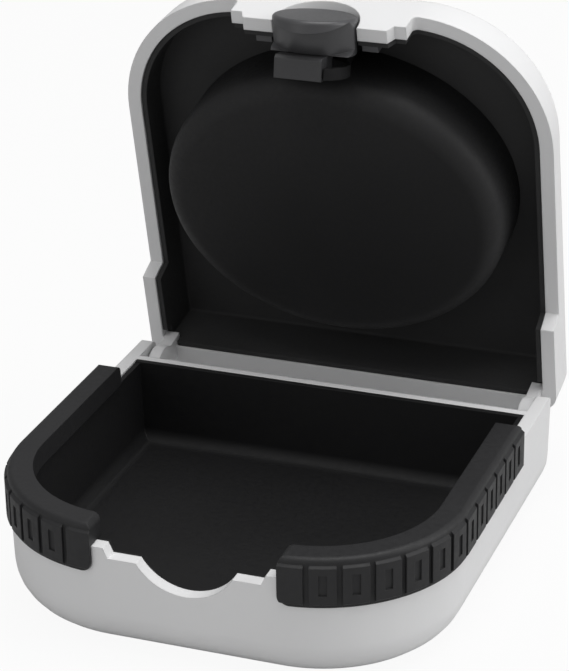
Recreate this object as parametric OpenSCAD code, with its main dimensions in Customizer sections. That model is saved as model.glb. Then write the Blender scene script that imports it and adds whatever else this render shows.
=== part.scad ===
// Clamshell pocket case for a pair of small ear-worn devices.
// Base tray with a liner and two grip bands, a lid with a liner and an oval
// pad, and a push button with a latch tongue in the front wall of the lid.
// The origin is on the resting face, under the middle of the closed case.

/* [Case] */
// Width of the case over the shell
body_w = 78; // [66:0.5:100]
// Distance from the origin to the front wall
front_d = 37.8; // [34:0.2:52]
// Distance from the origin to the rear face
rear_d = 38.4; // [34:0.2:52]
// Height of the parting plane above the resting face
part_h = 19.2; // [17:0.1:26]
// Height of the lid above the parting plane
lid_h = 13.3; // [12:0.1:18]
// Radius of the two front corners in plan
corner_r = 24; // [16:0.5:28]
// Radius of the two rear corners of the lid in plan
lid_rear_r = 3; // [1:0.5:5]
// How far the bead on the rear rim of the lid stands out
bead_out = 1.2; // [0.2:0.1:1.4]
// Wall of both shells
wall = 2.4; // [1.8:0.1:3]
// Gap between the closed shells
part_gap = 0.3; // [0.2:0.05:0.6]
// Radius of the lower edge of the base
foot_r = 7; // [4:0.5:9]
// Draft of the base wall in degrees
draft = 1.3; // [0:0.1:3]
// Radius of the lid's shoulder, where its wall turns level
shoulder_r = 4; // [3.8:0.1:6]
// Lean of the lid wall where its shoulder begins, in degrees
lid_lean = 7.5; // [5:0.5:14]
// Opening angle of the lid as it stands
open_deg = 78; // [0:1:90]

/* [Front] */
// Drop of the rim in the middle of the front
dip_drop = 1.8; // [1:0.1:3]
// Half width of the dropped rim
dip_half = 13; // [11:0.1:15]
// Run of the slope at each end of the dropped rim
dip_run = 0.8; // [0.4:0.1:1.5]
// Radius of the thumb notch
notch_r = 9.5; // [8:0.1:11]
// Height of the notch centre above the parting plane
notch_up = 2.9; // [1.5:0.1:4]

/* [Liners] */
// Wall of the two liners
liner_t = 0.9; // [0.6:0.1:1.4]
// Radius where the floor of the tray meets its wall
tray_r = 3.4; // [2:0.1:4]
// Floor of the base under the liner
floor_t = 2.4; // [1.8:0.1:3.2]
// Gap between a liner and its shell
liner_gap = 0.1; // [0.05:0.05:0.3]
// Drop of the liner edge below the shell edge
liner_drop = 0.3; // [0.1:0.1:1]
// Distance from the rear face to the front face of the rear lip
lip_in = 8.9; // [6:0.1:12]
// Thickness of the rear lip
lip_t = 1.5; // [1:0.1:2]

/* [Grip bands] */
// Height of a band
band_h = 8.6; // [6:0.1:11]
// Rise of the band top above the parting plane
band_up = 3.8; // [2.5:0.1:5]
// Depth of the band top from the shell face inwards
band_in = 4.14; // [3:0.1:5.5]
// How far the band stands proud of the shell
band_out = 0.2; // [0.1:0.05:0.5]
// Depth of the recess that the band sits in
band_seat = 1.6; // [1.2:0.1:1.8]
// Distance from the middle to the front end of a band
band_front = 15.8; // [14:0.1:18]
// Distance from the rear face to the rear end of the grip bands
band_rear_in = 20.1; // [16:0.1:26]
// Height of the ribs over the band face
rib_out = 0.5; // [0.2:0.05:0.8]
// Pitch of the rib grooves
rib_pitch = 2.58; // [2:0.02:4]
// Distance between grooves along the side
side_pitch = 2.75; // [2:0.05:4]
// Arc from the side wall to the first groove at the front
rib_first = 32.4; // [30:0.1:34]
// Width of the short slots
slot_w = 1.3; // [0.6:0.1:1.6]
// Depth of the short slots
slot_t = 0.3; // [0.1:0.1:0.5]
// Radius of the lower front corners of the grip bands
band_low_r = 1.9; // [0.5:0.1:3]
// Width of a rib groove
groove_w = 0.9; // [0.4:0.05:1.2]

/* [Hinge] */
// Distance from the rear face to the hinge axis
hinge_in = 1.4; // [1:0.1:2.4]
// Depth of the hinge axis below the parting plane
hinge_down = 5.46; // [5:0.02:6.5]
// Radius of a hinge pin
pin_r = 0.75; // [0.6:0.05:0.9]
// Clearance of the pin in the lug
pin_gap = 0.05; // [0.02:0.01:0.1]
// Depth of the pin in the rail
pin_in = 5; // [3:0.5:8]
// Thickness of a hinge lug
lug_t = 2.2; // [1.8:0.1:3]
// Radius of a hinge lug round its pin
lug_r = 4.6; // [4:0.1:5]
// Distance from the hinge to the front of the lug's arm
lug_arm = 3.3; // [2.5:0.1:4]
// Clearance round a lug
lug_gap = 0.3; // [0.25:0.05:0.5]
// Radius of the barrel along the rail
barrel_r = 2.1; // [1.8:0.05:2.3]

/* [Pad] */
// Half width of the oval pad
pad_a = 31; // [26:0.5:32]
// Half depth of the oval pad
pad_b = 26.2; // [20:0.2:27]
// Distance from the origin forward to the pad centre
pad_d = 1.1; // [0:0.1:4]
// Drop of the pad face below the parting plane
pad_down = 3.2; // [0:0.1:6]
// Radius of the pad edge
pad_edge = 1.6; // [0.8:0.1:3]

/* [Button] */
// Radius of the push button
button_r = 7.2; // [6.4:0.1:7.6]
// Tilt of the button axis above the horizontal
button_tilt = 21; // [12:0.5:24]
// Distance from the front wall to the centre of the button face
button_out = 1.2; // [0.8:0.1:2.5]
// Height of the centre of the button face above the parting plane
button_up = -0.6; // [-1:0.1:1.2]
// Length of the button skirt
skirt_len = 6.2; // [5.4:0.1:6.8]
// How far the hole in the lid runs past the skirt
hole_past = 8; // [6:0.5:10]
// Travel of the button
travel = 1.5; // [1:0.1:2.4]
// Radius of the guide tube
guide_r = 6.3; // [5.8:0.1:6.4]
// Wall of the guide tube
guide_t = 0.9; // [0.7:0.1:1.2]
// Clearance round the sliding pieces
slide_gap = 0.3; // [0.25:0.05:0.5]
// Width of the latch tongue
tongue_w = 8.3; // [6:0.1:9]
// Length of the latch tongue along the button axis
tongue_len = 3.9; // [3:0.1:4.5]
// Reach of the latch tongue below the button axis
tongue_reach = 5.5; // [4.8:0.1:6.2]
// Sideways place of the tongue
tongue_x = -0.8; // [-1.5:0.1:1.5]
// Bevel on the upper edge of the tongue
tongue_bevel = 0.5; // [0.2:0.1:1]
// Distance from the middle to the outer end of a stop
stop_half = 10.8; // [10.4:0.1:12]
// Width of a stop
stop_w = 2.8; // [1.6:0.1:2.8]
// Thickness of a stop
stop_t = 1.2; // [0.8:0.1:2]
// Height of the stops
stop_h = 2.2; // [1.6:0.1:3]
// Width of the post that carries the guide
post_w = 8; // [5:0.5:10]
// Thickness of the post
post_t = 1.6; // [1.4:0.1:2.4]

/* [Hidden] */
$fn = 64;
half_w = body_w / 2;
front_y = -front_d;
base_rim = part_h - part_gap / 2;
lid_rim = part_h + part_gap / 2;
lid_top = part_h + lid_h;
far = 200;
hinge_z = part_h - hinge_down;
hinge_d = rear_d - hinge_in;
lip_d = rear_d - lip_in;
band_rear = rear_d - band_rear_in;

// Lid wall: a side with a large bulge radius, then a shoulder that turns level at the top.
lid_side_r = (lid_h - shoulder_r * (1 - sin(lid_lean))) / sin(lid_lean);
side_z = part_h + lid_side_r * sin(lid_lean);
side_in = lid_side_r * (1 - cos(lid_lean));
shoulder_in = side_in + shoulder_r * cos(lid_lean);
shoulder_z = side_z - shoulder_r * sin(lid_lean);
function lid_line(off, low) = concat(
    [[off, low]],
    [for (i = [0:3]) let (a = lid_lean * i / 4)
        [lid_side_r - (lid_side_r - off) * cos(a), part_h + (lid_side_r - off) * sin(a)]],
    [for (i = [0:8]) let (a = lid_lean + (90 - lid_lean) * i / 8)
        [shoulder_in - (shoulder_r - off) * cos(a), shoulder_z + (shoulder_r - off) * sin(a)]]);

// Base wall: a rounded lower edge, then a drafted side.
function lean_in(z) = (part_h - z) * tan(draft);
function base_line(off, low, top) =
    let (r = off == 0 ? foot_r : max(tray_r - (off - wall), 0.6)) concat(
    [for (i = [0:7]) let (a = 90 * i / 8, z = low + r * (1 - cos(a)))
        [off + r * (1 - sin(a)) + lean_in(z), z]],
    [[off + lean_in(low + r), low + r], [off + lean_in(top), top]]);

// Upright rear wall with a rounded lower edge.
function rear_round(low, top) =
    let (r = max(tray_r - (liner_gap + liner_t), 0.6)) concat(
    [for (i = [0:7]) let (a = 90 * i / 8) [r * (1 - sin(a)), low + r * (1 - cos(a))]],
    [[0, low + r], [0, top]]);

// Plan with two round front corners, with a wall line of [inset, height] pairs.
module plan_solid(line, rear_line, rear) {
    last = len(line) - 1;
    cx = half_w - corner_r;
    cy = front_y + corner_r;
    intersection() {
        translate([0, rear + 1, 0]) rotate([90, 0, 0]) linear_extrude(rear - front_y + 3)
            polygon(concat([for (p = line) [half_w - p[0], p[1]]],
                [for (i = [last:-1:0]) [-(half_w - line[i][0]), line[i][1]]]));
        rotate([90, 0, 90]) translate([0, 0, -half_w - 1]) linear_extrude(body_w + 2)
            polygon(concat([for (p = rear_line) [rear - p[0], p[1]]],
                [for (i = [last:-1:0]) [front_y + line[i][0], line[i][1]]]));
        translate([0, 0, -far / 2]) linear_extrude(far)
            polygon([[-cx, front_y - 1], [cx, front_y - 1], [cx, cy], [half_w + 1, cy],
                [half_w + 1, rear + 1], [-half_w - 1, rear + 1], [-half_w - 1, cy], [-cx, cy]]);
    }
    for (s = [0, 1]) mirror([s, 0, 0]) translate([cx, cy, 0]) rotate([0, 0, -90])
        rotate_extrude(angle = 90)
            polygon(concat([[0, line[0][1]]], [for (p = line) [corner_r - p[0], p[1]]],
                [[0, line[last][1]]]));
}

// Strip of constant section that runs round one front corner and along its side.
module side_strip(section, rear) {
    cx = half_w - corner_r;
    cy = front_y + corner_r;
    translate([cx, cy, 0]) rotate([0, 0, -90]) rotate_extrude(angle = 90)
        polygon([for (p = section) [corner_r - p[0], p[1]]]);
    translate([0, rear, 0]) rotate([90, 0, 0]) linear_extrude(rear - cy)
        polygon([for (p = section) [half_w - p[0], p[1]]]);
}

module along_y(y0, y1) {
    translate([0, y1, 0]) rotate([90, 0, 0]) linear_extrude(y1 - y0) children();
}
module along_x(x0, x1) {
    translate([x0, 0, 0]) rotate([90, 0, 90]) linear_extrude(x1 - x0) children();
}
module x_bar(x0, x1, r) {
    translate([x0, hinge_d, hinge_z]) rotate([0, 90, 0]) cylinder(r = r, h = x1 - x0);
}

// Moves a piece from the closed lid to the lid as it stands.
module on_lid() {
    translate([0, hinge_d, hinge_z]) rotate([-open_deg, 0, 0])
        translate([0, -hinge_d, -hinge_z]) children();
}

// Button frame: the origin is the centre of the face and +Z runs inwards.
button_y = front_y - button_out;
button_z = part_h + button_up;
module on_button() {
    translate([0, button_y, button_z]) rotate([-90 - button_tilt, 0, 0]) children();
}

// Hinge stations along X, the same on both sides.
ear_x = half_w - wall;
lug_x1 = ear_x - lug_gap;
lug_x0 = lug_x1 - lug_t;
rail_x = lug_x0 - lug_gap;
lug_front = hinge_d - lug_r;
rail_top = hinge_z + barrel_r;
lip_back = lip_d + lip_t;

// Band stations.
band_z1 = part_h + band_up;
band_z0 = band_z1 - band_h;
band_round = 1.3;
lid_side_rim = band_z1 + part_gap;
lid_step_x = band_front - part_gap;
lid_step_y = band_rear + 1.1;
lid_step_run = 1;

notch_z = part_h + notch_up;
recess_half = tongue_w / 2 + slide_gap;
cos_t = cos(button_tilt);
sin_t = sin(button_tilt);
tongue_start = skirt_len + 0.1;
tongue_end = tongue_start + tongue_len;
stem_half = 2.5;
// Lowest and foremost points of the tongue in the closed case.
tongue_low = button_z - tongue_end * sin_t - tongue_reach * cos_t;
tongue_fore = button_y + min(
    tongue_start * cos_t - (tongue_reach - tongue_bevel) * sin_t,
    (tongue_start + tongue_bevel) * cos_t - tongue_reach * sin_t);
recess_z = tongue_low - 0.5;
recess_y = tongue_fore - part_gap;
liner_face = front_y + wall + liner_gap + liner_t;

// Rim line of the lid and of its liner, seen from the front and from the side.
module lid_rim_cut(up) {
    z1 = lid_side_rim + up;
    z0 = lid_rim + up;
    x0 = lid_step_x - up;
    intersection() {
        for (s = [0, 1]) mirror([s, 0, 0]) along_y(-far, far) difference() {
            translate([x0, -1]) square([far, z1 + 1]);
            translate([x0, z1 - 1]) difference() {
                translate([-1, 0]) square([2, 2]);
                translate([1, 0]) circle(1);
                translate([1, -1]) square([2, 3]);
            }
        }
        along_x(-far, far) polygon([[-far, -1], [lid_step_y + lid_step_run + up, -1],
            [lid_step_y + lid_step_run + up, z0], [lid_step_y + up, z1], [-far, z1]]);
    }
}

module lid_low_cut(up) {
    z0 = lid_rim + up;
    along_x(-far, far) polygon([[0, -1], [far, -1], [far, z0], [0, z0]]);
    along_y(-far, 0.1) polygon([[-far, -1], [far, -1], [far, z0],
        [dip_half + dip_run - part_gap, z0], [dip_half - part_gap, z0 - dip_drop],
        [-dip_half + part_gap, z0 - dip_drop], [-dip_half - dip_run + part_gap, z0], [-far, z0]]);
}

module dip_cut(down) {
    z = base_rim - down;
    along_y(-far, front_y + corner_r) polygon([[-dip_half, z - dip_drop],
        [dip_half, z - dip_drop], [dip_half + dip_run, z], [dip_half + dip_run, z + 10],
        [-dip_half - dip_run, z + 10], [-dip_half - dip_run, z]]);
}

module notch_cut(r) {
    translate([0, front_y + corner_r, notch_z]) rotate([90, 0, 0]) cylinder(r = r, h = far);
}

module ear_round() {
    r = 1.2;
    along_x(-far, far) translate([rear_d - r, base_rim - r]) difference() {
        square(r + 1);
        circle(r);
    }
}

module base_shell() {
    color([0.83, 0.83, 0.84]) difference() {
        union() {
            difference() {
                plan_solid(base_line(0, 0, base_rim), base_line(0, 0, base_rim), rear_d);
                plan_solid(base_line(wall, floor_t, far),
                    [[0, floor_t], [0, far]], rear_d - wall);
                // Open space between the ears and above the rail.
                translate([-ear_x - 0.05, lip_back, rail_top])
                    cube([2 * ear_x + 0.1, far, far]);
            }
            // Rear lip.
            translate([-ear_x - 0.3, lip_d, floor_t - 0.2])
                cube([2 * ear_x + 0.6, lip_t, base_rim - floor_t + 0.2]);
            // Shelf from the lip to the rail, and the rail with its barrel.
            translate([-rail_x, lip_back - 0.2, rail_top - wall + 0.6])
                cube([2 * rail_x, hinge_d - lip_back + 0.2, wall - 0.6]);
            intersection() {
                union() {
                    x_bar(-rail_x, rail_x, barrel_r);
                    translate([-rail_x, hinge_d - barrel_r, hinge_z - barrel_r])
                        cube([2 * rail_x, 2 * barrel_r, barrel_r]);
                }
                translate([-far, 0, 0]) cube([2 * far, rear_d, far]);
            }
        }
        // Round the top of the rear wall down to the barrel.
        difference() {
            translate([-rail_x - 0.1, hinge_d, hinge_z])
                cube([2 * rail_x + 0.2, far, far]);
            x_bar(-rail_x - 0.2, rail_x + 0.2, barrel_r);
        }
        dip_cut(0);
        notch_cut(notch_r);
        // Seats of the grip bands.
        for (s = [0, 1]) mirror([s, 0, 0]) intersection() {
            side_strip([[-3, band_z0], [-3, part_h + 5], [band_seat, part_h + 5],
                [band_seat, band_z0]], band_rear);
            difference() {
                translate([band_front, -far, 0]) cube(2 * far);
                band_corner();
            }
        }
        // Pockets for the hinge lugs.
        for (s = [0, 1]) mirror([s, 0, 0]) {
            x_bar(rail_x, ear_x + 0.05, lug_r + lug_gap);
            translate([rail_x, lug_front - lug_gap, hinge_z])
                cube([ear_x + 0.05 - rail_x, far, far]);
            x_bar(rail_x - pin_in, half_w - 0.9, pin_r + 0.01);
        }
        // Recess that the latch tongue drops into.
        if (recess_y < front_y + wall) translate([tongue_x - recess_half, recess_y, recess_z])
            cube([2 * recess_half, front_y + 2 * wall - recess_y, far]);
        ear_round();
    }
}

module base_liner() {
    off = wall + liner_gap;
    top = base_rim - liner_drop;
    rear = lip_d - 0.02;
    color([0.07, 0.07, 0.08]) difference() {
        plan_solid(base_line(off, floor_t, base_rim - 0.04),
            [[0, floor_t], [0, base_rim - 0.04]], rear);
        // The liner stands level with the lip at the rear only.
        translate([-far / 2, -far, top]) cube([far, far + rear - liner_t, far]);
        plan_solid(base_line(off + liner_t, floor_t + 1.05, far),
            rear_round(floor_t + 1.05, far), rear - liner_t);
        dip_cut(liner_drop);
        notch_cut(notch_r + 0.3);
        translate([tongue_x - recess_half, -far, recess_z])
            cube([2 * recess_half, far + liner_face + 0.5, far]);
    }
}

// One groove through a band: even ones run its whole height, odd ones are short slots.
module groove(i) {
    long = i % 2 == 0;
    h = long ? band_h : band_h * 0.42;
    w = long ? groove_w : slot_w;
    zc = (band_z0 + band_z1) / 2 - 0.2;
    translate([band_out + rib_out - (long ? rib_out + 0.02 : slot_t), -w / 2, zc - h / 2])
        cube([rib_out + 1, w, h]);
}

module rib_cuts() {
    cx = half_w - corner_r;
    cy = front_y + corner_r;
    corner_n = floor((rib_first - 1) / rib_pitch);
    for (i = [0:corner_n]) translate([cx, cy, 0])
        rotate([0, 0, -(rib_first - i * rib_pitch) / corner_r * 180 / PI])
            translate([corner_r, 0, 0]) groove(i);
    side_n = floor((band_rear - cy - 1) / side_pitch);
    for (j = [1:side_n]) translate([half_w, cy - rib_first + corner_n * rib_pitch
        + j * side_pitch, 0]) groove(corner_n + j);
}

// Rounded lower front corner, kept off the band and out of its seat.
module band_corner() {
    along_y(-far, front_y + corner_r) translate([band_front, band_z0]) difference() {
        translate([-1, -1]) square([band_low_r + 1, band_low_r + 1]);
        translate([band_low_r, band_low_r]) circle(band_low_r);
    }
}

module grip_band() {
    r = 1;
    difference() {
        intersection() {
            side_strip(concat([[band_seat, band_z0], [-band_out, band_z0],
                [-band_out, band_z0 + 0.4], [-band_out - rib_out, band_z0 + 0.8],
                [-band_out - rib_out, band_z1 - 1.5], [-band_out, band_z1 - 1.1]],
                [for (i = [0:4]) let (a = 90 * i / 4)
                    [-band_out + r - r * cos(a), band_z1 - r + r * sin(a)]],
                [[band_in, band_z1], [band_in, base_rim], [band_seat, base_rim]]), band_rear);
            translate([band_front, -far, 0]) cube(2 * far);
        }
        rib_cuts();
        band_corner();
        // Rounded upper corners at the two ends.
        along_y(-far, front_y + corner_r)
            translate([band_front, band_z1 - band_round]) difference() {
                translate([-1, 0]) square([band_round + 1, band_round + 1]);
                translate([band_round, 0]) circle(band_round);
            }
        along_x(0, far) translate([band_rear, band_z1 - band_round]) difference() {
            translate([-band_round, 0]) square([band_round + 1, band_round + 1]);
            translate([-band_round, 0]) circle(band_round);
        }
    }
}

module grip_band_left() { color([0.16, 0.16, 0.17]) mirror([1, 0, 0]) grip_band(); }
module grip_band_right() { color([0.16, 0.16, 0.17]) grip_band(); }

module hinge_pin(s) {
    color([0.7, 0.7, 0.72]) mirror([s, 0, 0]) x_bar(rail_x - pin_in + 0.2, half_w - 1.1, pin_r);
}
module hinge_pin_left() { hinge_pin(1); }
module hinge_pin_right() { hinge_pin(0); }

module lid_outer(off, rear_off, low) {
    line = lid_line(off, low);
    rear = rear_d - 0.5;
    difference() {
        plan_solid(line, [for (p = line) [p[0] - off + rear_off, p[1]]], rear);
        if (off < 1) for (s = [0, 1]) mirror([s, 0, 0])
            translate([half_w - lid_rear_r, rear - lid_rear_r, -1]) difference() {
                cube([lid_rear_r + 1, lid_rear_r + 1, far]);
                translate([0, 0, -1]) cylinder(r = lid_rear_r, h = far + 2);
            }
    }
}

module button_hole(r) {
    on_button() translate([0, 0, -button_r]) cylinder(r = r, h = skirt_len + button_r + hole_past);
}

module lid_shell() {
    color([0.85, 0.85, 0.86]) on_lid() {
        difference() {
            union() {
                difference() {
                    lid_outer(0, 0, part_h - dip_drop - 1);
                    lid_outer(wall, wall, -5);
                    lid_rim_cut(0);
                    lid_low_cut(0);
                }
                along_x(lid_rear_r - half_w, half_w - lid_rear_r)
                    polygon([[rear_d - 0.5 - wall / 2, lid_rim], [rear_d - 0.5 + bead_out, lid_rim],
                        [rear_d - 0.5 + bead_out, lid_rim + 1.2],
                        [rear_d - 0.7, lid_rim + 2.6], [rear_d - 0.5 - wall / 2, lid_rim + 2.6]]);
                for (s = [0, 1]) mirror([s, 0, 0]) intersection() {
                    union() {
                        x_bar(lug_x0, lug_x1, lug_r);
                        translate([lug_x0, hinge_d - lug_arm, hinge_z])
                            cube([lug_t, rear_d - 0.5 - hinge_d + lug_arm, lid_rim + 2 - hinge_z]);
                        translate([lug_x0, hinge_d - lug_arm, lid_rim])
                            cube([ear_x + 0.5 - lug_x0, rear_d - 1 - hinge_d + lug_arm, 2]);
                    }
                    translate([0, 0, -far / 2]) cube([far, rear_d - 0.5, far]);
                }
            }
            button_hole(button_r + slide_gap);
            x_bar(-far, far, pin_r + pin_gap);
        }
    }
}

module lid_liner() {
    off = wall + liner_gap;
    color([0.08, 0.08, 0.09]) on_lid() difference() {
        lid_outer(off, off, part_h - dip_drop - 1);
        lid_outer(off + liner_t, off + liner_t, -5);
        lid_rim_cut(liner_drop);
        lid_low_cut(liner_drop);
        button_hole(button_r + slide_gap);
        for (s = [0, 1]) mirror([s, 0, 0])
            translate([lug_x0 - 0.2, lug_front - 0.2, 0]) cube([far, far, lid_rim + 2.2]);
    }
}

// Pad with an oval outline and a rounded edge, narrowed under the lid's shoulder.
pad_z = part_h - pad_down;
pad_n = 72;
inner_off = wall + liner_gap + liner_t;
// Each ring is [height, share of the full outline].
pad_rings = concat(
    [for (i = [0:4]) let (a = 90 * i / 4)
        [pad_z + pad_edge * (1 - cos(a)), 1 - pad_edge / pad_a * (1 - sin(a))]],
    [for (a = [30, 50, 65, 78, 90]) let (r = shoulder_r - inner_off)
        [shoulder_z + r * sin(a) - 0.02,
            min(1, (half_w - shoulder_in + r * cos(a) - 0.3) / pad_a)]]);
module lid_pad() {
    last = len(pad_rings) - 1;
    color([0.05, 0.05, 0.06]) on_lid() polyhedron(
        points = [for (q = pad_rings) for (k = [0:pad_n - 1]) let (t = 360 * k / pad_n)
            [pad_a * q[1] * cos(t), pad_b * q[1] * sin(t) - pad_d, q[0]]],
        faces = concat([[for (k = [0:pad_n - 1]) k]],
            [for (j = [0:last - 1]) for (k = [0:pad_n - 1]) let (m = (k + 1) % pad_n)
                [j * pad_n + k, (j + 1) * pad_n + k, (j + 1) * pad_n + m]],
            [for (j = [0:last - 1]) for (k = [0:pad_n - 1]) let (m = (k + 1) % pad_n)
                [j * pad_n + k, (j + 1) * pad_n + m, j * pad_n + m]],
            [[for (k = [0:pad_n - 1]) last * pad_n + pad_n - 1 - k]]));
}

// Space left free for the front wall of the base, for a button pressed in by a distance.
module front_clear(press) {
    difference() {
        translate([-far / 2, -far, -far]) cube([far, far + liner_face + slide_gap, far + part_h]);
        translate([0, far, notch_z + press * sin_t]) rotate([90, 0, 0])
            cylinder(r = notch_r - part_gap, h = 2 * far);
        // The face of the button stands in front of the wall and stays whole.
        translate([-far / 2, -far, -far])
            cube([far, far + front_y - 0.3 - press * cos_t, 2 * far]);
    }
}

module push_button() {
    r = 0.7;
    color([0.3, 0.3, 0.31]) on_lid() difference() {
        on_button() {
            rotate_extrude() polygon(concat([[0, 0]],
                [for (i = [0:5]) let (a = 90 * i / 5)
                    [button_r - r + r * sin(a), r - r * cos(a)]],
                [[button_r, skirt_len], [0, skirt_len]]));
            translate([-stem_half, -stem_half, skirt_len - 1])
                cube([2 * stem_half, 2 * stem_half, tongue_end + 1 - skirt_len]);
        }
        front_clear(travel);
    }
}

module latch_tongue() {
    color([0.2, 0.2, 0.21]) on_lid() on_button()
        translate([tongue_x - tongue_w / 2, 0, 0]) rotate([90, 0, 90]) linear_extrude(tongue_w)
            polygon([[stem_half, tongue_start], [tongue_reach - tongue_bevel, tongue_start],
                [tongue_reach, tongue_start + tongue_bevel], [tongue_reach, tongue_end],
                [stem_half, tongue_end]]);
}

guide_z0 = skirt_len + travel + slide_gap;
guide_z1 = tongue_end - 0.2;
guide_back = -pad_d - pad_b - 0.4;
// Guide tube round the stem, with a post up to the liner.
module button_guide() {
    color([0.24, 0.24, 0.25]) on_lid() {
        difference() {
            on_button() difference() {
                translate([0, 0, guide_z0]) cylinder(r = guide_r, h = guide_z1 - guide_z0);
                translate([0, 0, guide_z0 - 1]) cylinder(r = guide_r - guide_t, h = guide_z1);
                translate([tongue_x - recess_half, 0, guide_z0 - 1])
                    cube([2 * recess_half, far, guide_z1 + 2 - guide_z0]);
            }
            front_clear(0);
            translate([-far / 2, guide_back, 0]) cube(far);
        }
        difference() {
            translate([-post_w / 2, guide_back - post_t, part_h])
                cube([post_w, post_t, lid_top - inner_off - 0.02 - part_h]);
            on_button() {
                cylinder(r = guide_r - 0.3, h = far);
                cylinder(r = button_r + slide_gap, h = guide_z0);
                translate([tongue_x - recess_half, 0, 0]) cube([2 * recess_half, far, far]);
            }
        }
    }
}

// Two small stops on the liner, one each side of the button.
module button_stop(s) {
    color([0.34, 0.34, 0.35]) on_lid() mirror([s, 0, 0])
        translate([stop_half - stop_w, liner_face + 0.06, lid_rim - 1.2])
            cube([stop_w, stop_t, stop_h]);
}
module button_stop_left() { button_stop(1); }
module button_stop_right() { button_stop(0); }

base_shell();
base_liner();
grip_band_left();
grip_band_right();
hinge_pin_left();
hinge_pin_right();
lid_shell();
lid_liner();
lid_pad();
push_button();
latch_tongue();
button_guide();
button_stop_left();
button_stop_right();
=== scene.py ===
import bpy, bmesh, math
from mathutils import Matrix, Vector


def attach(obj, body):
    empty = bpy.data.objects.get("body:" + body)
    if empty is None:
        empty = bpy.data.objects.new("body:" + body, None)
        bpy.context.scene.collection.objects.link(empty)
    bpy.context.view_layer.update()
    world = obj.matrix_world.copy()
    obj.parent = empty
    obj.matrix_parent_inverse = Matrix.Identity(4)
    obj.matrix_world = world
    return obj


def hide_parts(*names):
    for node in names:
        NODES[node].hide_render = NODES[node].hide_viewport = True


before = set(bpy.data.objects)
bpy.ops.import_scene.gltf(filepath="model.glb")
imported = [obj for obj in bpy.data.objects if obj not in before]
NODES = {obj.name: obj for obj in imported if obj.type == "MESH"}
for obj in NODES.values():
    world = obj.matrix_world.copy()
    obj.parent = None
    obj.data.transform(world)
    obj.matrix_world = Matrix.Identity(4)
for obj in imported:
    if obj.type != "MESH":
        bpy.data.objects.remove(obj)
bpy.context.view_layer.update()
MM = 0.001

# Edges that turn by more than this many degrees stay sharp
SHARP_ANGLE = 32
PAD_SHARP_ANGLE = 60
# Vertices closer than this are one, and faces that turn by less than this are one, in m and degrees
WELD = 2e-6
FLAT_ANGLE = 0.6
# Depth of the grain in m
GRAIN_DEPTH = 0.00004
# Spread of a noise texture's values
NOISE_LOW, NOISE_HIGH = 0.3, 0.7


# Materials
def add(nt, kind, **values):
    """Adds a shader node and sets its inputs, with underscores for the spaces in their names."""
    node = nt.nodes.new(kind)
    for name, value in values.items():
        node.inputs[name.replace("_", " ")].default_value = value
    return node


def blank(owner):
    owner.use_nodes = True
    owner.node_tree.nodes.clear()
    return owner.node_tree


def noise_range(nt, source, middle, spread):
    """Maps a noise texture to a value that drifts round its middle."""
    node = add(nt, "ShaderNodeMapRange", From_Min=NOISE_LOW, From_Max=NOISE_HIGH,
               To_Min=middle - spread, To_Max=middle + spread)
    nt.links.new(source.outputs["Fac"], node.inputs["Value"])
    return node


def grain(name, base, rough, bump, scale, vary, specular=0.5, bevel=0.0, rough_vary=0.06,
          metallic=0.0):
    """Moulded surface: fine grain in the bump, a slow drift of colour and roughness."""
    mat = bpy.data.materials.new(name)
    nt = blank(mat)
    out = add(nt, "ShaderNodeOutputMaterial")
    bsdf = add(nt, "ShaderNodeBsdfPrincipled", Specular_IOR_Level=specular, Metallic=metallic)
    nt.links.new(bsdf.outputs[0], out.inputs[0])
    coord = add(nt, "ShaderNodeTexCoord")
    slow = add(nt, "ShaderNodeTexNoise", Scale=45.0, Detail=2.0)
    fine = add(nt, "ShaderNodeTexNoise", Scale=scale, Detail=3.0)
    for tex in (slow, fine):
        nt.links.new(coord.outputs["Object"], tex.inputs["Vector"])
    drift = noise_range(nt, slow, 1.0, vary)
    tint = add(nt, "ShaderNodeVectorMath")
    tint.operation = "SCALE"
    tint.inputs[0].default_value = base
    nt.links.new(drift.outputs[0], tint.inputs["Scale"])
    nt.links.new(tint.outputs[0], bsdf.inputs["Base Color"])
    dull = noise_range(nt, fine, rough, rough_vary)
    nt.links.new(dull.outputs[0], bsdf.inputs["Roughness"])
    relief = add(nt, "ShaderNodeBump", Strength=bump, Distance=GRAIN_DEPTH)
    nt.links.new(fine.outputs["Fac"], relief.inputs["Height"])
    nt.links.new(relief.outputs[0], bsdf.inputs["Normal"])
    if bevel:
        soft = add(nt, "ShaderNodeBevel", Radius=bevel)
        soft.samples = 6
        nt.links.new(soft.outputs[0], relief.inputs["Normal"])
    return mat


shell_mat = grain("shell_white", (0.72, 0.72, 0.725), rough=0.45, bump=0.25, scale=1400,
                  vary=0.012, bevel=0.00035, specular=0.35)
liner_mat = grain("liner_black", (0.008, 0.008, 0.0085), rough=0.6, bump=0.5, scale=1100,
                  vary=0.1, bevel=0.0003, specular=0.3)
# The lid's liner is the same black as the base's liner, made lighter here: the extra grey is
# painted light, standing in for the light that falls on the open lid's inner face.
lid_liner_painted_light_mat = grain("lid_liner_black_painted_light", (0.036, 0.036, 0.0365), rough=0.8, bump=0.5,
                      scale=1100, vary=0.1, bevel=0.0003, specular=0.2)
pad_mat = grain("pad_black", (0.0125, 0.0125, 0.013), rough=0.62, bump=0.35, scale=1300,
                vary=0.12, specular=0.28)
grip_mat = grain("grip_rubber", (0.015, 0.015, 0.016), rough=0.55, bump=0.6, scale=1000,
                 vary=0.08, bevel=0.00025, specular=0.35)
button_mat = grain("button_grey", (0.058, 0.058, 0.061), rough=0.4, bump=0.1, scale=1500,
                   vary=0.03, bevel=0.0002, rough_vary=0.02)
guide_mat = grain("guide_black", (0.006, 0.006, 0.0065), rough=0.7, bump=0.2, scale=1300,
                  vary=0.05, bevel=0.0002, specular=0.2)
latch_mat = grain("latch_grey", (0.03, 0.03, 0.032), rough=0.5, bump=0.25, scale=1300,
                  vary=0.04, bevel=0.0002)
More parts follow.
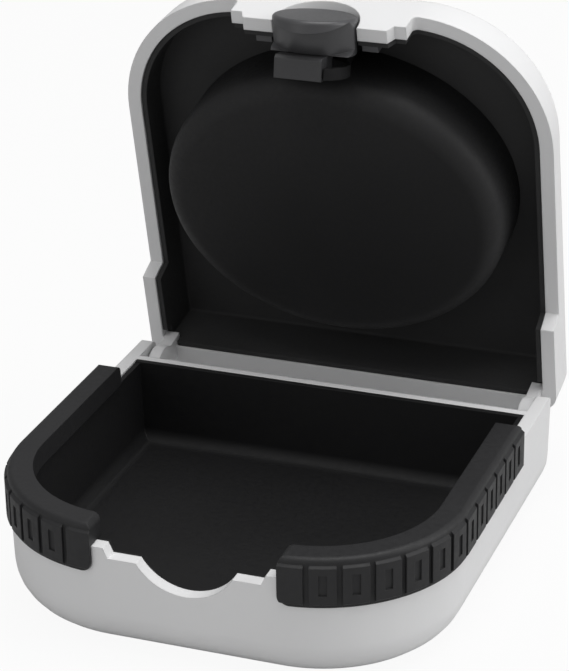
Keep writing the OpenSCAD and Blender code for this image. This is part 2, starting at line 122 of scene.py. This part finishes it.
pin_mat = grain("pin_steel", (0.5, 0.5, 0.52), rough=0.3, bump=0.2, scale=2000, vary=0.03,
                metallic=1.0)


# Helpers
def smooth_by_angle(bm, degrees):
    limit = math.radians(degrees)
    for f in bm.faces:
        f.smooth = True
    for e in bm.edges:
        e.smooth = len(e.link_faces) == 2 and e.calc_face_angle(0.0) <= limit


def smooth_groups(v):
    """Splits the faces at a vertex into groups that smooth edges join."""
    left = list(v.link_faces)
    while left:
        group, queue = [], [left.pop(0)]
        while queue:
            f = queue.pop(0)
            group.append(f)
            for e in f.edges:
                if v in e.verts and e.smooth:
                    for g in e.link_faces:
                        if g in left:
                            left.remove(g)
                            queue.append(g)
        yield group


def corner_normals(bm, layer):
    """Stores at each corner the area-weighted normal of the faces joined by smooth edges."""
    areas = {f: f.calc_area() for f in bm.faces}
    for v in bm.verts:
        for group in smooth_groups(v):
            total = sum((f.normal * areas[f] for f in group), Vector())
            if total.length > 0:
                total.normalize()
            for f in group:
                for loop in f.loops:
                    if loop.vert == v:
                        loop[layer] = total


def dress(node, mat, body, slot):
    """Carries a CAD node over as its own piece, with clean faces and even shading."""
    me = NODES[node].data.copy()
    obj = bpy.data.objects.new("look_" + node, me)
    bpy.context.scene.collection.objects.link(obj)
    bm = bmesh.new()
    bm.from_mesh(me)
    bmesh.ops.remove_doubles(bm, verts=bm.verts, dist=WELD)
    bmesh.ops.dissolve_limit(bm, angle_limit=math.radians(FLAT_ANGLE), verts=bm.verts,
                             edges=bm.edges, use_dissolve_boundaries=False)
    smooth_by_angle(bm, SHARP_ANGLE)
    layer = bm.loops.layers.float_vector.new("corner_normal")
    bm.normal_update()
    corner_normals(bm, layer)
    bmesh.ops.triangulate(bm, faces=[f for f in bm.faces if len(f.verts) > 4])
    bm.to_mesh(me)
    bm.free()
    stored = me.attributes["corner_normal"]
    me.normals_split_custom_set([tuple(d.vector) for d in stored.data])
    me.attributes.remove(me.attributes["corner_normal"])
    me.materials.clear()
    me.materials.append(mat)
    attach(obj, body)
    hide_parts(node)


def mesh_piece(name, verts, faces, mat, body, degrees):
    """Makes a piece from points and faces, with its normals turned outwards."""
    me = bpy.data.meshes.new(name)
    me.from_pydata([tuple(v) for v in verts], [], faces)
    me.validate()
    obj = bpy.data.objects.new(name, me)
    bpy.context.scene.collection.objects.link(obj)
    me.materials.append(mat)
    bm = bmesh.new()
    bm.from_mesh(me)
    bmesh.ops.recalc_face_normals(bm, faces=bm.faces)
    smooth_by_angle(bm, degrees)
    bm.to_mesh(me)
    bm.free()
    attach(obj, body)
    return obj


# Hinge in mm and opening angle in degrees, as in the part's source
HINGE_Y, HINGE_Z, OPEN_DEG = 37.0, 13.74, 78.0


def on_lid(p):
    """Turns a point of the closed lid, in mm, to its place on the open lid, in m."""
    a = math.radians(-OPEN_DEG)
    y, z = p[1] - HINGE_Y, p[2] - HINGE_Z
    return Vector((p[0], HINGE_Y + y * math.cos(a) - z * math.sin(a),
                   HINGE_Z + y * math.sin(a) + z * math.cos(a))) * MM


# Oval pad in mm on the closed lid: half width, half length and middle of the outline
PAD_A, PAD_B, PAD_Y = 31.0, 26.2, -1.1
# Height of its face and of its root, radius of the soft edge, rise of the crowned face
PAD_FACE_Z, PAD_ROOT_Z, PAD_EDGE, PAD_CROWN = 16.0, 29.0, 4.0, 0.56
# Heights where the side wall has a ring: below the root and above the soft edge
PAD_ROOT_RING, PAD_EDGE_RING = 1.5, 3.0
PAD_AROUND, PAD_EDGE_STEPS, PAD_FACE_STEPS = 144, 8, 8


def oval(a, b, z):
    turns = [2 * math.pi * i / PAD_AROUND for i in range(PAD_AROUND)]
    return [(a * math.cos(u), b * math.sin(u) + PAD_Y, z) for u in turns]


def pad_piece():
    """Pad with a soft edge and a slightly crowned face, its side wall up to the liner."""
    rings = [oval(PAD_A, PAD_B, z) for z in
             (PAD_ROOT_Z, PAD_ROOT_Z - PAD_ROOT_RING, PAD_FACE_Z + PAD_EDGE + PAD_EDGE_RING)]
    for k in range(PAD_EDGE_STEPS, -1, -1):
        t = math.radians(90 * k / PAD_EDGE_STEPS)
        inset = PAD_EDGE * (1 - math.sin(t))
        rings.append(oval(PAD_A - inset, PAD_B - inset,
                          PAD_FACE_Z + PAD_EDGE * (1 - math.cos(t))))
    for k in range(1, PAD_FACE_STEPS + 1):
        s = 1 - k / (PAD_FACE_STEPS + 1)
        rings.append(oval((PAD_A - PAD_EDGE) * s, (PAD_B - PAD_EDGE) * s,
                          PAD_FACE_Z - PAD_CROWN * (1 - s * s)))
    n, last = PAD_AROUND, len(rings) - 1
    faces = []
    for r in range(last):
        for i in range(n):
            j = (i + 1) % n
            faces.append((r * n + i, r * n + j, (r + 1) * n + j, (r + 1) * n + i))
    faces.append(tuple(range(last * n, (last + 1) * n)))
    faces.append(tuple(range(n - 1, -1, -1)))
    verts = [on_lid(p) for ring in rings for p in ring]
    obj = mesh_piece("pad_oval", verts, faces, pad_mat, "lid", PAD_SHARP_ANGLE)
    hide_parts("lid_pad")


# Pieces: node, material, body, slot
pad_piece()
for node, mat, body, slot in (
        ("base_shell", shell_mat, "base", "shell_white"),
        ("base_liner", liner_mat, "base", "liner_black"),
        ("grip_band_left", grip_mat, "base", "grip_rubber"),
        ("grip_band_right", grip_mat, "base", "grip_rubber"),
        ("hinge_pin_left", pin_mat, "base", "pin_steel"),
        ("hinge_pin_right", pin_mat, "base", "pin_steel"),
        ("lid_shell", shell_mat, "lid", "shell_white"),
        ("lid_liner", lid_liner_painted_light_mat, "lid", "liner_black"),
        ("push_button", button_mat, "button", "button_grey"),
        ("latch_tongue", latch_mat, "button", "latch_grey"),
        ("button_guide", guide_mat, "lid", "latch_grey"),
        ("button_stop_left", button_mat, "lid", "latch_grey"),
        ("button_stop_right", button_mat, "lid", "latch_grey")):
    dress(node, mat, body, slot)

# Half size of the floor and its drop below the resting face, in m
FLOOR_HALF, FLOOR_DROP = 3.0, 0.00002
# Grey of the floor, and the share of plain white that only the camera sees in it
FLOOR_GREY, FLOOR_WHITE = 0.58, 0.93


# Floor
def floor():
    s = FLOOR_HALF
    me = bpy.data.meshes.new("floor")
    me.from_pydata([(-s, -s, 0), (s, -s, 0), (s, s, 0), (-s, s, 0)], [], [(0, 1, 2, 3)])
    obj = bpy.data.objects.new("floor", me)
    bpy.context.scene.collection.objects.link(obj)
    obj.location.z = -FLOOR_DROP
    mat = bpy.data.materials.new("floor_pale")
    nt = blank(mat)
    out = add(nt, "ShaderNodeOutputMaterial")
    mix = add(nt, "ShaderNodeMixShader")
    grey = add(nt, "ShaderNodeBsdfDiffuse", Color=(FLOOR_GREY, FLOOR_GREY, FLOOR_GREY, 1))
    white = add(nt, "ShaderNodeEmission", Color=(1, 1, 1, 1), Strength=1.0)
    ray = add(nt, "ShaderNodeLightPath")
    share = add(nt, "ShaderNodeMath")
    share.operation = "MULTIPLY"
    share.inputs[1].default_value = FLOOR_WHITE
    nt.links.new(ray.outputs["Is Camera Ray"], share.inputs[0])
    nt.links.new(share.outputs[0], mix.inputs[0])
    nt.links.new(grey.outputs[0], mix.inputs[1])
    nt.links.new(white.outputs[0], mix.inputs[2])
    nt.links.new(mix.outputs[0], out.inputs[0])
    me.materials.append(mat)


floor()


# Light: places and sizes in m, power in W
def area(name, pos, target, size, watts):
    data = bpy.data.lights.new(name, "AREA")
    data.shape = "DISK"
    data.size = size
    data.energy = watts
    obj = bpy.data.objects.new(name, data)
    bpy.context.scene.collection.objects.link(obj)
    obj.location = pos
    obj.rotation_euler = (Vector(target) - Vector(pos)).to_track_quat("-Z", "Y").to_euler()


area("key_top", (0.15, 0.06, 0.85), (0, 0.01, 0.02), size=0.7, watts=5.2)
area("side_right", (0.75, 0.15, 0.35), (0, 0, 0.03), size=0.6, watts=2.6)
area("front_fill", (-0.35, -0.75, 0.35), (0, 0, 0.03), size=0.7, watts=0.92)
area("rim_light", (-0.05, -0.42, 0.75), (0, 0, 0.03), size=0.2, watts=0.5)

# Strength of the room's even light. The camera sees plain white instead.
ROOM_LIGHT = 0.3


def studio():
    world = bpy.data.worlds.new("studio")
    bpy.context.scene.world = world
    nt = blank(world)
    out = add(nt, "ShaderNodeOutputWorld")
    mix = add(nt, "ShaderNodeMixShader")
    room = add(nt, "ShaderNodeBackground", Color=(1, 1, 1, 1), Strength=ROOM_LIGHT)
    white = add(nt, "ShaderNodeBackground", Color=(1, 1, 1, 1), Strength=1.0)
    ray = add(nt, "ShaderNodeLightPath")
    nt.links.new(ray.outputs["Is Camera Ray"], mix.inputs[0])
    nt.links.new(room.outputs[0], mix.inputs[1])
    nt.links.new(white.outputs[0], mix.inputs[2])
    nt.links.new(mix.outputs[0], out.inputs[0])


studio()

# The photograph's view: turns in degrees, target in mm, distance in m, lens and sensor in mm
VIEW_AZ, VIEW_EL, VIEW_ROLL = 20.613, 24.448, -0.94
VIEW_TARGET = (-12.458, 42.118, 21.735)
VIEW_DISTANCE = 0.483895
VIEW_LENS, VIEW_SENSOR = 94.3, 24.0


# Camera
def camera():
    az, el, roll = (math.radians(v) for v in (VIEW_AZ, VIEW_EL, VIEW_ROLL))
    back = Vector((math.sin(az) * math.cos(el), -math.cos(az) * math.cos(el), math.sin(el)))
    right = Vector((math.cos(az), math.sin(az), 0))
    up = back.cross(right)
    c, s = math.cos(roll), math.sin(roll)
    right, up = right * c + up * s, up * c - right * s
    data = bpy.data.cameras.new("camera")
    data.sensor_fit = "VERTICAL"
    data.sensor_height = VIEW_SENSOR
    data.lens = VIEW_LENS
    data.clip_start = 0.01
    data.clip_end = 20.0
    obj = bpy.data.objects.new("camera", data)
    bpy.context.scene.collection.objects.link(obj)
    m = Matrix((right, up, back)).transposed().to_4x4()
    m.translation = Vector(VIEW_TARGET) * MM + back * VIEW_DISTANCE
    obj.matrix_world = m
    bpy.context.scene.camera = obj


camera()
bpy.context.scene.view_settings.view_transform = "Standard"
